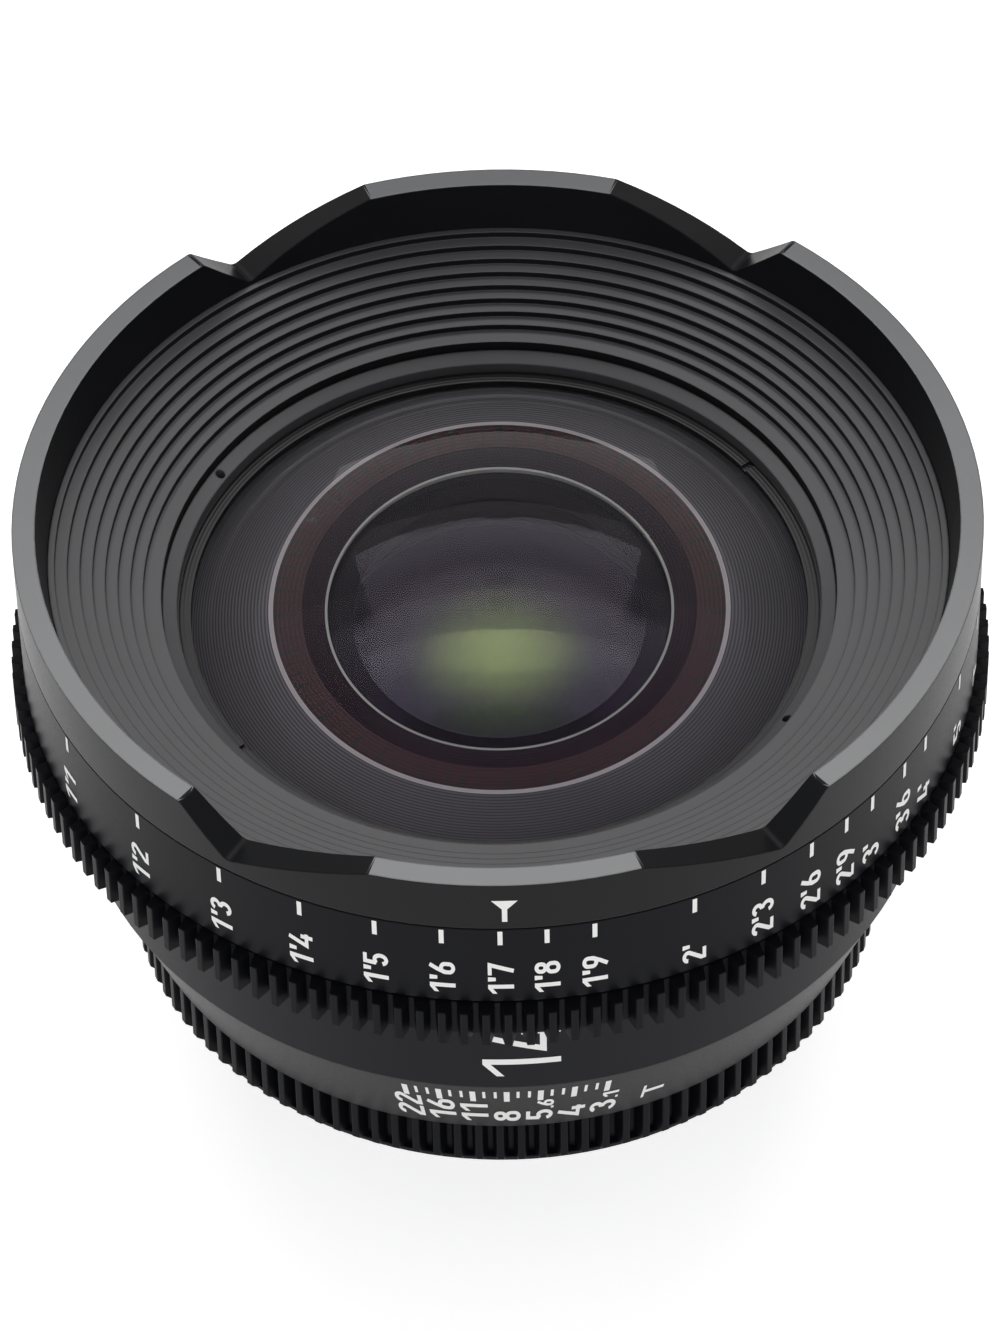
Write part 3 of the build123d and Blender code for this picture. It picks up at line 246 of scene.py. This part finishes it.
# Glass: tint, colour of the coating's reflection and index. The lower index at the hollow behind the front
# glass stands in for its coating: without it the hollow is a mirror at low angles
front_glass = coated("front_glass", (1, 1, 1), (0.09, 0.06, 0.11), 1.58)
hollow_glass = coated("hollow_glass", (1, 1, 1), (0.09, 0.06, 0.11), 1.22)
second_glass = coated("second_glass", (0.9, 0.86, 0.95), (0.035, 0.02, 0.055), 1.6)
inner_glass = coated("inner_glass", (0.5, 0.58, 0.46), (1, 1, 1), 1.6)
# Painted glow: the inner glass reflects bright yellow-green near the axis and dim purple further out
painted_glow_near_axis(inner_glass, 0.0095, (0.03, 0.024, 0.045), (0.8, 1.0, 0.3))

# Faces seen through the front glass: colours, pitch of the rings, reflection and chamfer
ground_back = seat(
    "ground_back", (0.05, 0.047, 0.06), (0.27, 0.25, 0.28), 0.00042, 0.5, HOLLOW_CHAMFER_R, (0.55, 0.5, 0.54)
)
cell_seat = seat("cell_seat", (0.045, 0.022, 0.024), (0.09, 0.05, 0.052), 0.0005, 0.1)
second_seat = seat(
    "second_seat",
    (0.012, 0.006, 0.01),
    (0.022, 0.012, 0.018),
    0.0004,
    0.08,
    SECOND_CHAMFER_R,
    (0.4, 0.4, 0.39),
)
white_paint = paint("white_paint", (0.78, 0.78, 0.77), (0.88, 0.88, 0.87))

BY_SLOT = {
    "hood_black": hood_metal,
    "baffle_black": tread_painted_light,
    "ring_black": ring_metal,
    "barrel_black": barrel_metal,
    "inner_black": inner_metal,
    "steel": steel,
    "mount_steel": steel,
    "brass": brass,
    "blade_steel": blade_metal,
    "coated_glass": inner_glass,
}
BY_NODE = {
    "front_element": front_glass,
    "second_element": second_glass,
    "second_retainer": second_seat,
    "iris_drive_screw": blade_metal,
}
for part in subparts:
    part_mesh = nodes[part["node"]].data
    part_mesh.materials.clear()
    part_mesh.materials.append(BY_NODE.get(part["node"], BY_SLOT[part["material_slot"]]))


def finish_faces(name, material, chosen):
    """Gives a second material to the faces of a node that a test on radius, height and slope picks."""
    part_mesh = nodes[name].data
    part_mesh.materials.append(material)
    slot = len(part_mesh.materials) - 1
    for face in part_mesh.polygons:
        radius = hypot(face.center.x, face.center.y)
        if chosen(radius, face.center.z, face.normal.z):
            face.material_index = slot


FLAT = 0.99999
# Painted light: only the upward facing rim faces at the front of the hood get the lighter, more reflective
# black
finish_faces("petal_hood", rim_painted_light, lambda r, z, slope: slope > 0.99 and z > FRONT - 0.0001)
# Painted shade: the baffle's faces that do not face up, the risers, get the dark copy of its metal
finish_faces("hood_baffle", riser_painted_shade, lambda r, z, slope: slope < 0.5)
finish_faces("front_cell", cell_seat, lambda r, z, slope: slope > 0.99 and r < LEDGE_R)

# Glass is ground and blackened on its edge and on the flats outside its faces
for part in subparts:
    if part["material_slot"] == "coated_glass":
        half = 0.5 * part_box(part["node"])[1][0]
        finish_faces(
            part["node"],
            edge_black,
            lambda r, z, slope: (abs(slope) > FLAT and r > half) or abs(slope) < 0.001,
        )
finish_faces("front_element", hollow_glass, lambda r, z, slope: slope < -0.2 and r < HOLLOW_R)


def add_piece(name, body, verts, faces, material):
    made = bpy.data.meshes.new(name)
    made.from_pydata(verts, [], faces)
    made.materials.append(material)
    thing = bpy.data.objects.new(name, made)
    bpy.context.scene.collection.objects.link(thing)
    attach(thing, body)


def flat_ring(name, body, material, inner, outer, low, high, steps=180):
    """Closed thin ring round the axis."""
    verts, faces = [], []
    for k in range(steps):
        turn = 2 * pi * k / steps
        for radius, height in ((inner, low), (outer, low), (outer, high), (inner, high)):
            verts.append((radius * cos(turn), radius * sin(turn), height))
        here, after = 4 * k, 4 * ((k + 1) % steps)
        for corner in range(4):
            beside = (corner + 1) % 4
            faces.append((here + corner, after + corner, after + beside, here + beside))
    add_piece(name, body, verts, faces, material)


# Paint on the flat back of the front glass, seen through the glass
BACK_PAINT = (GLASS_BACK + 0.00003, GLASS_BACK + 0.00009)
flat_ring("front_glass_blackening", "fixed_lens", ground_back, 0.02325, 0.0373, *BACK_PAINT)


def on_cylinder(radius):
    """Places flat drawings on a cylinder: azimuth from -Y towards +X, and height."""

    def place(across, up, lift):
        turn = across / radius
        reach = radius + lift
        return (reach * sin(turn), -reach * cos(turn), up)

    return place


def on_cone(mean_radius):
    """Places flat drawings on the iris ring's cone."""
    slope = (CONE_TOP[0] - CONE_FOOT[0]) / (CONE_TOP[1] - CONE_FOOT[1])

    def place(across, up, lift):
        turn = across / mean_radius
        reach = CONE_FOOT[0] + (up - CONE_FOOT[1]) * slope + lift
        return (reach * sin(turn), -reach * cos(turn), up)

    return place


def cut_fine(mesh_data, pitch):
    """Cuts the long faces of a flat drawing so that they can follow a curved surface."""
    work = bmesh.new()
    work.from_mesh(mesh_data)
    low = min(v.co.x for v in work.verts)
    high = max(v.co.x for v in work.verts)
    for step in range(1, int((high - low) / pitch) + 1):
        bmesh.ops.bisect_plane(
            work,
            geom=work.verts[:] + work.edges[:] + work.faces[:],
            plane_co=(low + step * pitch, 0, 0),
            plane_no=(1, 0, 0),
        )
    work.to_mesh(mesh_data)
    work.free()


def arc(x, y, across, up, first, last, steps=12):
    """Points along part of an oval, angles in degrees anticlockwise from +X."""
    angles = [radians(first + (last - first) * k / steps) for k in range(steps + 1)]
    return [(x + across * cos(a), y + up * sin(a)) for a in angles]


def ring(x, y, across, up):
    """Closed loop with straight sides and round ends, taller than it is wide."""
    straight = up - across
    return arc(x, y + straight, across, across, 0, 180) + arc(x, y - straight, across, across, 180, 360)


def ribbon(points, weight, closed=False):
    """Quads that follow a path at an even width, with mitred corners."""
    count = len(points)
    left, right = [], []
    for k, (x, y) in enumerate(points):
        before = points[k - 1] if closed or k else None
        after = points[(k + 1) % count] if closed or k < count - 1 else None
        headings = []
        for a, b in ((before, (x, y)), ((x, y), after)):
            if a and b and hypot(b[0] - a[0], b[1] - a[1]) > 1e-6:
                headings.append(atan2(b[1] - a[1], b[0] - a[0]))
        heading = atan2(sum(sin(h) for h in headings), sum(cos(h) for h in headings))
        half = weight / 2 / max(0.45, cos(headings[0] - heading))
        left.append((x - half * sin(heading), y + half * cos(heading)))
        right.append((x + half * sin(heading), y - half * cos(heading)))
    last = count if closed else count - 1
    return [[left[k], right[k], right[(k + 1) % count], left[(k + 1) % count]] for k in range(last)]


def glyph(sign, weight):
    """Width of one sign and its layers of faces, in capital heights."""
    half = weight / 2
    six_bowl = ribbon(ring(0.23, 0.31, 0.155, 0.31 - half), weight, True)
    six_leg = ribbon([(0.34, 0.99), (0.2, 0.72), (0.11, 0.5), (0.078, 0.34)], weight)
    if sign == "0":
        return 0.5, [ribbon(ring(0.23, 0.5, 0.155, 0.5 - half), weight, True)]
    if sign == "1":
        right = 0.34
        stem = right - weight
        tip = stem - 0.19
        flag = [(stem, 1), (tip, 0.82), (tip, 0.82 - 1.15 * weight), (stem, 1 - 1.25 * weight)]
        return 0.44, [[flag, [(stem, 0), (right, 0), (right, 1), (stem, 1)]]]
    if sign == "2":
        path = arc(0.23, 0.77, 0.155, 0.23 - half, 185, -32)
        return 0.5, [ribbon(path + [(0.08, 0.2), (0.08, half), (0.44, half)], weight)]
    if sign == "3":
        upper = arc(0.22, 0.75, 0.15, 0.25 - half, 165, -75)
        return 0.5, [ribbon(upper + arc(0.22, 0.29, 0.165, 0.29 - half, 75, -165), weight)]
    if sign == "4":
        corner = 0.18 + half
        slope = ribbon([(0.27, 1), (0.06, corner), (0.49, corner)], weight)
        return 0.54, [slope, [[(0.3, 0), (0.3 + weight, 0), (0.3 + weight, 0.5), (0.3, 0.5)]]]
    if sign == "5":
        top = [(0.41, 1 - half), (0.105, 1 - half), (0.09, 0.55)]
        return 0.5, [ribbon(top + arc(0.225, 0.31, 0.16, 0.31 - half, 118, -160), weight)]
    if sign == "6":
        return 0.5, [six_bowl, six_leg]
    if sign == "7":
        return 0.48, [ribbon([(0.02, 1 - half), (0.41, 1 - half), (0.18, 0)], weight)]
    if sign == "8":
        upper = ribbon(ring(0.23, 0.755, 0.14, 0.245 - half), weight, True)
        return 0.5, [upper, ribbon(ring(0.23, 0.29, 0.16, 0.29 - half), weight, True)]
    if sign == "9":
        six = (six_bowl, six_leg)
        return 0.5, [[[(0.46 - x, 1 - y) for x, y in face] for face in layer] for layer in six]
    if sign == "'":
        return 0.24, [[[(0.04, 0.7), (0.17, 0.7), (0.19, 1), (0.02, 1)]]]
    if sign == ".":
        return 0.24, [[[(0.04, 0), (0.2, 0), (0.2, 0.16), (0.04, 0.16)]]]
    # what is left is the letter T
    foot = 1 - weight
    stem = [(0.28 - half, 0), (0.28 + half, 0), (0.28 + half, foot), (0.28 - half, foot)]
    return 0.58, [[[(0, foot), (0.56, foot), (0.56, 1), (0, 1)], stem]]


LAYER_LIFT = 0.000004


def letters(text, height, stretch, weight=0.15, start=0.0):
    """Flat mesh of a short text that reads along +X from start, with its middle height at zero."""
    verts, faces = [], []
    for sign in text:
        width, layers = glyph(sign, weight)
        for level, layer in enumerate(layers):
            for face in layer:
                base = len(verts)
                for x, y in face:
                    verts.append((start + x * height * stretch, (y - 0.5) * height, level * LAYER_LIFT))
                faces.append(tuple(range(base, base + len(face))))
        start += width * height * stretch
    mesh_data = bpy.data.meshes.new("letters")
    mesh_data.from_pydata(verts, [], faces)
    return mesh_data


def shape(points):
    mesh_data = bpy.data.meshes.new("shape")
    mesh_data.from_pydata([(x, y, 0) for x, y in points], [], [tuple(range(len(points)))])
    return mesh_data


def bar(width, length):
    x, y = width / 2, length / 2
    return shape([(-x, -y), (x, -y), (x, y), (-x, y)])


def turned_left(mesh_data):
    """Quarter turn anticlockwise, so that the text reads towards the front of the lens."""
    for v in mesh_data.vertices:
        v.co.x, v.co.y = -v.co.y, v.co.x
    return mesh_data


PAINT_LIFT = 0.00003
FINE_PITCH = 0.0006


def marks(name, body, surface, items):
    """Joins flat drawings into one piece laid on a surface. Each item is (mesh, across, up)."""
    verts, faces = [], []
    for mesh_data, across, up in items:
        cut_fine(mesh_data, FINE_PITCH)
        base = len(verts)
        for v in mesh_data.vertices:
            verts.append(surface(across + v.co.x, up + v.co.y, PAINT_LIFT + v.co.z))
        for p in mesh_data.polygons:
            faces.append([base + i for i in p.vertices])
        bpy.data.meshes.remove(mesh_data)
    add_piece(name, body, verts, faces, white_paint)


def focus_scale():
    """Feet and inches, at azimuths in degrees from the index."""
    labels = (
        (-62.1, "1'1"), (-47.5, "1'2"), (-34.9, "1'3"), (-24.3, "1'4"), (-15.2, "1'5"), (-7.45, "1'6"),
        (-0.75, "1'7"), (4.6, "1'8"), (10.1, "1'9"), (22.05, "2'"), (31.0, "2'3"), (37.9, "2'6"),
        (43.4, "2'9"), (47.9, "3'"), (54.2, "3'6"), (59.0, "4'"), (69.4, "5'"), (79.0, "7'"),
        (87.0, "10'"), (94.0, "15'"), (99.5, "30'"),
    )
    tick_z, text_z = 0.06725, 0.0573
    items = []
    for angle, text in labels:
        across = radians(angle) * HOOD_R
        items.append((bar(0.00056, 0.0024), across, tick_z))
        items.append((turned_left(letters(text, 0.00295, 1.61)), across, text_z))
    marks("focus_scale_marks", "focus_ring", on_cylinder(HOOD_R), items)


def focus_index():
    """A filled triangle over a short stem."""
    across = radians(-0.17) * HOOD_R
    arrow = shape([(-0.0015, 0.0012), (0.0015, 0.0012), (0.0003, -0.0003), (-0.0003, -0.0003)])
    items = [(arrow, across, 0.0727), (bar(0.0006, 0.0022), across, 0.0713)]
    marks("focus_index", "fixed_lens", on_cylinder(HOOD_R), items)


def iris_scale():
    """T-stops on the cone, with two small ticks between each pair."""
    stops = ("22", "16", "11", "8", "5.6", "4", "3.1")
    first, step = -14.1, 4.55
    mean_radius = 0.0503
    text_z, tick_z, small_tick_z = 0.0211, 0.0297, 0.0303
    whole_height, rest_height, stretch = 0.00333, 0.002, 2.27
    items = []
    for k, text in enumerate(stops):
        angle = first + step * k
        across = radians(angle) * mean_radius
        items.append((bar(0.00068, 0.0034), across, tick_z))
        whole, dot, rest = text.partition(".")
        items.append((turned_left(letters(whole, whole_height, stretch)), across, text_z))
        if rest:
            beside = across + (whole_height - rest_height) / 2
            small = turned_left(letters(dot + rest, rest_height, stretch, 0.17, 0.0037))
            items.append((small, beside, text_z))
        if text != stops[-1]:
            for share in (1 / 3, 2 / 3):
                between = radians(angle + step * share) * mean_radius
                items.append((bar(0.00035, 0.0022), between, small_tick_z))
    items.append((turned_left(letters("T", 0.00285, 2.5, 0.13)), radians(20.5) * mean_radius, 0.0222))
    marks("iris_scale_marks", "iris_ring", on_cone(mean_radius), items)


def focal_length():
    """Large figures on the barrel."""
    figures = turned_left(letters("14", 0.0092, 1.25, 0.085))
    across = radians(1.6) * BARREL_R
    marks("focal_length_figures", "fixed_lens", on_cylinder(BARREL_R), [(figures, across, 0.0349)])


focus_scale()
focus_index()
iris_scale()
focal_length()


def floor():
    """Pale floor that shows white to the camera and in reflections, and keeps the lens's shadow."""
    size = 6.0
    own_light = 0.55
    material, tree, shader = new_material("floor_white")
    pale = mix_colours(tree, grain(tree, 3), (0.86, 0.86, 0.86), (0.9, 0.9, 0.9))
    tree.links.new(pale, shader.inputs["Base Color"])
    shader.inputs["Roughness"].default_value = 0.9
    shader.inputs["Emission Color"].default_value = (1, 1, 1, 1)
    rays = node(tree, "ShaderNodeLightPath")
    seen = math_node(tree, "MAXIMUM", rays.outputs["Is Camera Ray"], rays.outputs["Is Glossy Ray"])
    seen = math_node(tree, "MAXIMUM", seen, rays.outputs["Is Transmission Ray"])
    tree.links.new(math_node(tree, "MULTIPLY", seen, own_light), shader.inputs["Emission Strength"])
    corners = [(x, y, FLOOR_Z) for x, y in ((-size, -size), (size, -size), (size, size), (-size, size))]
    mesh_data = bpy.data.meshes.new("floor")
    mesh_data.from_pydata(corners, [], [(0, 1, 2, 3)])
    mesh_data.materials.append(material)
    thing = bpy.data.objects.new("floor", mesh_data)
    bpy.context.scene.collection.objects.link(thing)


def sky():
    world = bpy.data.worlds.new("studio")
    world.use_nodes = True
    world.node_tree.nodes["Background"].inputs["Color"].default_value = (1, 1, 1, 1)
    world.node_tree.nodes["Background"].inputs["Strength"].default_value = 0.6
    bpy.context.scene.world = world


def toward(azimuth, elevation):
    """Direction with azimuth in degrees from -Y towards +X."""
    turn, rise = radians(azimuth), radians(elevation)
    return Vector((sin(turn) * cos(rise), -cos(turn) * cos(rise), sin(rise)))


def soft_box(name, azimuth, elevation, distance, width, height, power):
    """Area light that looks at the hood."""
    light = bpy.data.lights.new(name, "AREA")
    light.shape = "RECTANGLE"
    light.size = width
    light.size_y = height
    light.energy = power
    box = bpy.data.objects.new(name, light)
    offset = toward(azimuth, elevation) * distance
    box.location = Vector((0, 0, 0.07)) + offset
    box.rotation_euler = (-offset).to_track_quat("-Z", "Y").to_euler()
    bpy.context.scene.collection.objects.link(box)


def camera():
    """Stands where the photograph was taken from, and aims beside the middle of the rim as it did."""
    elevation, distance = 47.37, 0.8281
    sensor_height, focal_pixels, picture_pixels = 24.0, 7058.4, 1330
    tilt, pan, roll = 1.2468, 0.0219, 1.25
    target = Vector((0, 0, FRONT))
    place = target + toward(0, elevation) * distance
    data = bpy.data.cameras.new("camera")
    data.sensor_fit = "VERTICAL"
    data.sensor_height = sensor_height
    data.lens = sensor_height * focal_pixels / picture_pixels
    data.clip_start = 0.01
    look = (target - place).to_track_quat("-Z", "Y").to_matrix()
    aim = Matrix.Rotation(-radians(roll), 3, "Z")
    aim = aim @ Matrix.Rotation(-radians(tilt), 3, "X") @ Matrix.Rotation(-radians(pan), 3, "Y")
    eye = bpy.data.objects.new("camera", data)
    eye.matrix_world = Matrix.Translation(place) @ (look @ aim).to_4x4()
    bpy.context.scene.collection.objects.link(eye)
    bpy.context.scene.camera = eye


floor()
sky()
soft_box("back_top", azimuth=180, elevation=60, distance=1.5, width=1.8, height=0.75, power=9)
soft_box("front_low", azimuth=0, elevation=22, distance=1.8, width=2.4, height=1.1, power=10)
camera()

# Light crosses many glass faces on its way in and out
scene = bpy.context.scene
scene.cycles.max_bounces = 32
scene.cycles.transmission_bounces = 32
scene.view_settings.view_transform = "Standard"
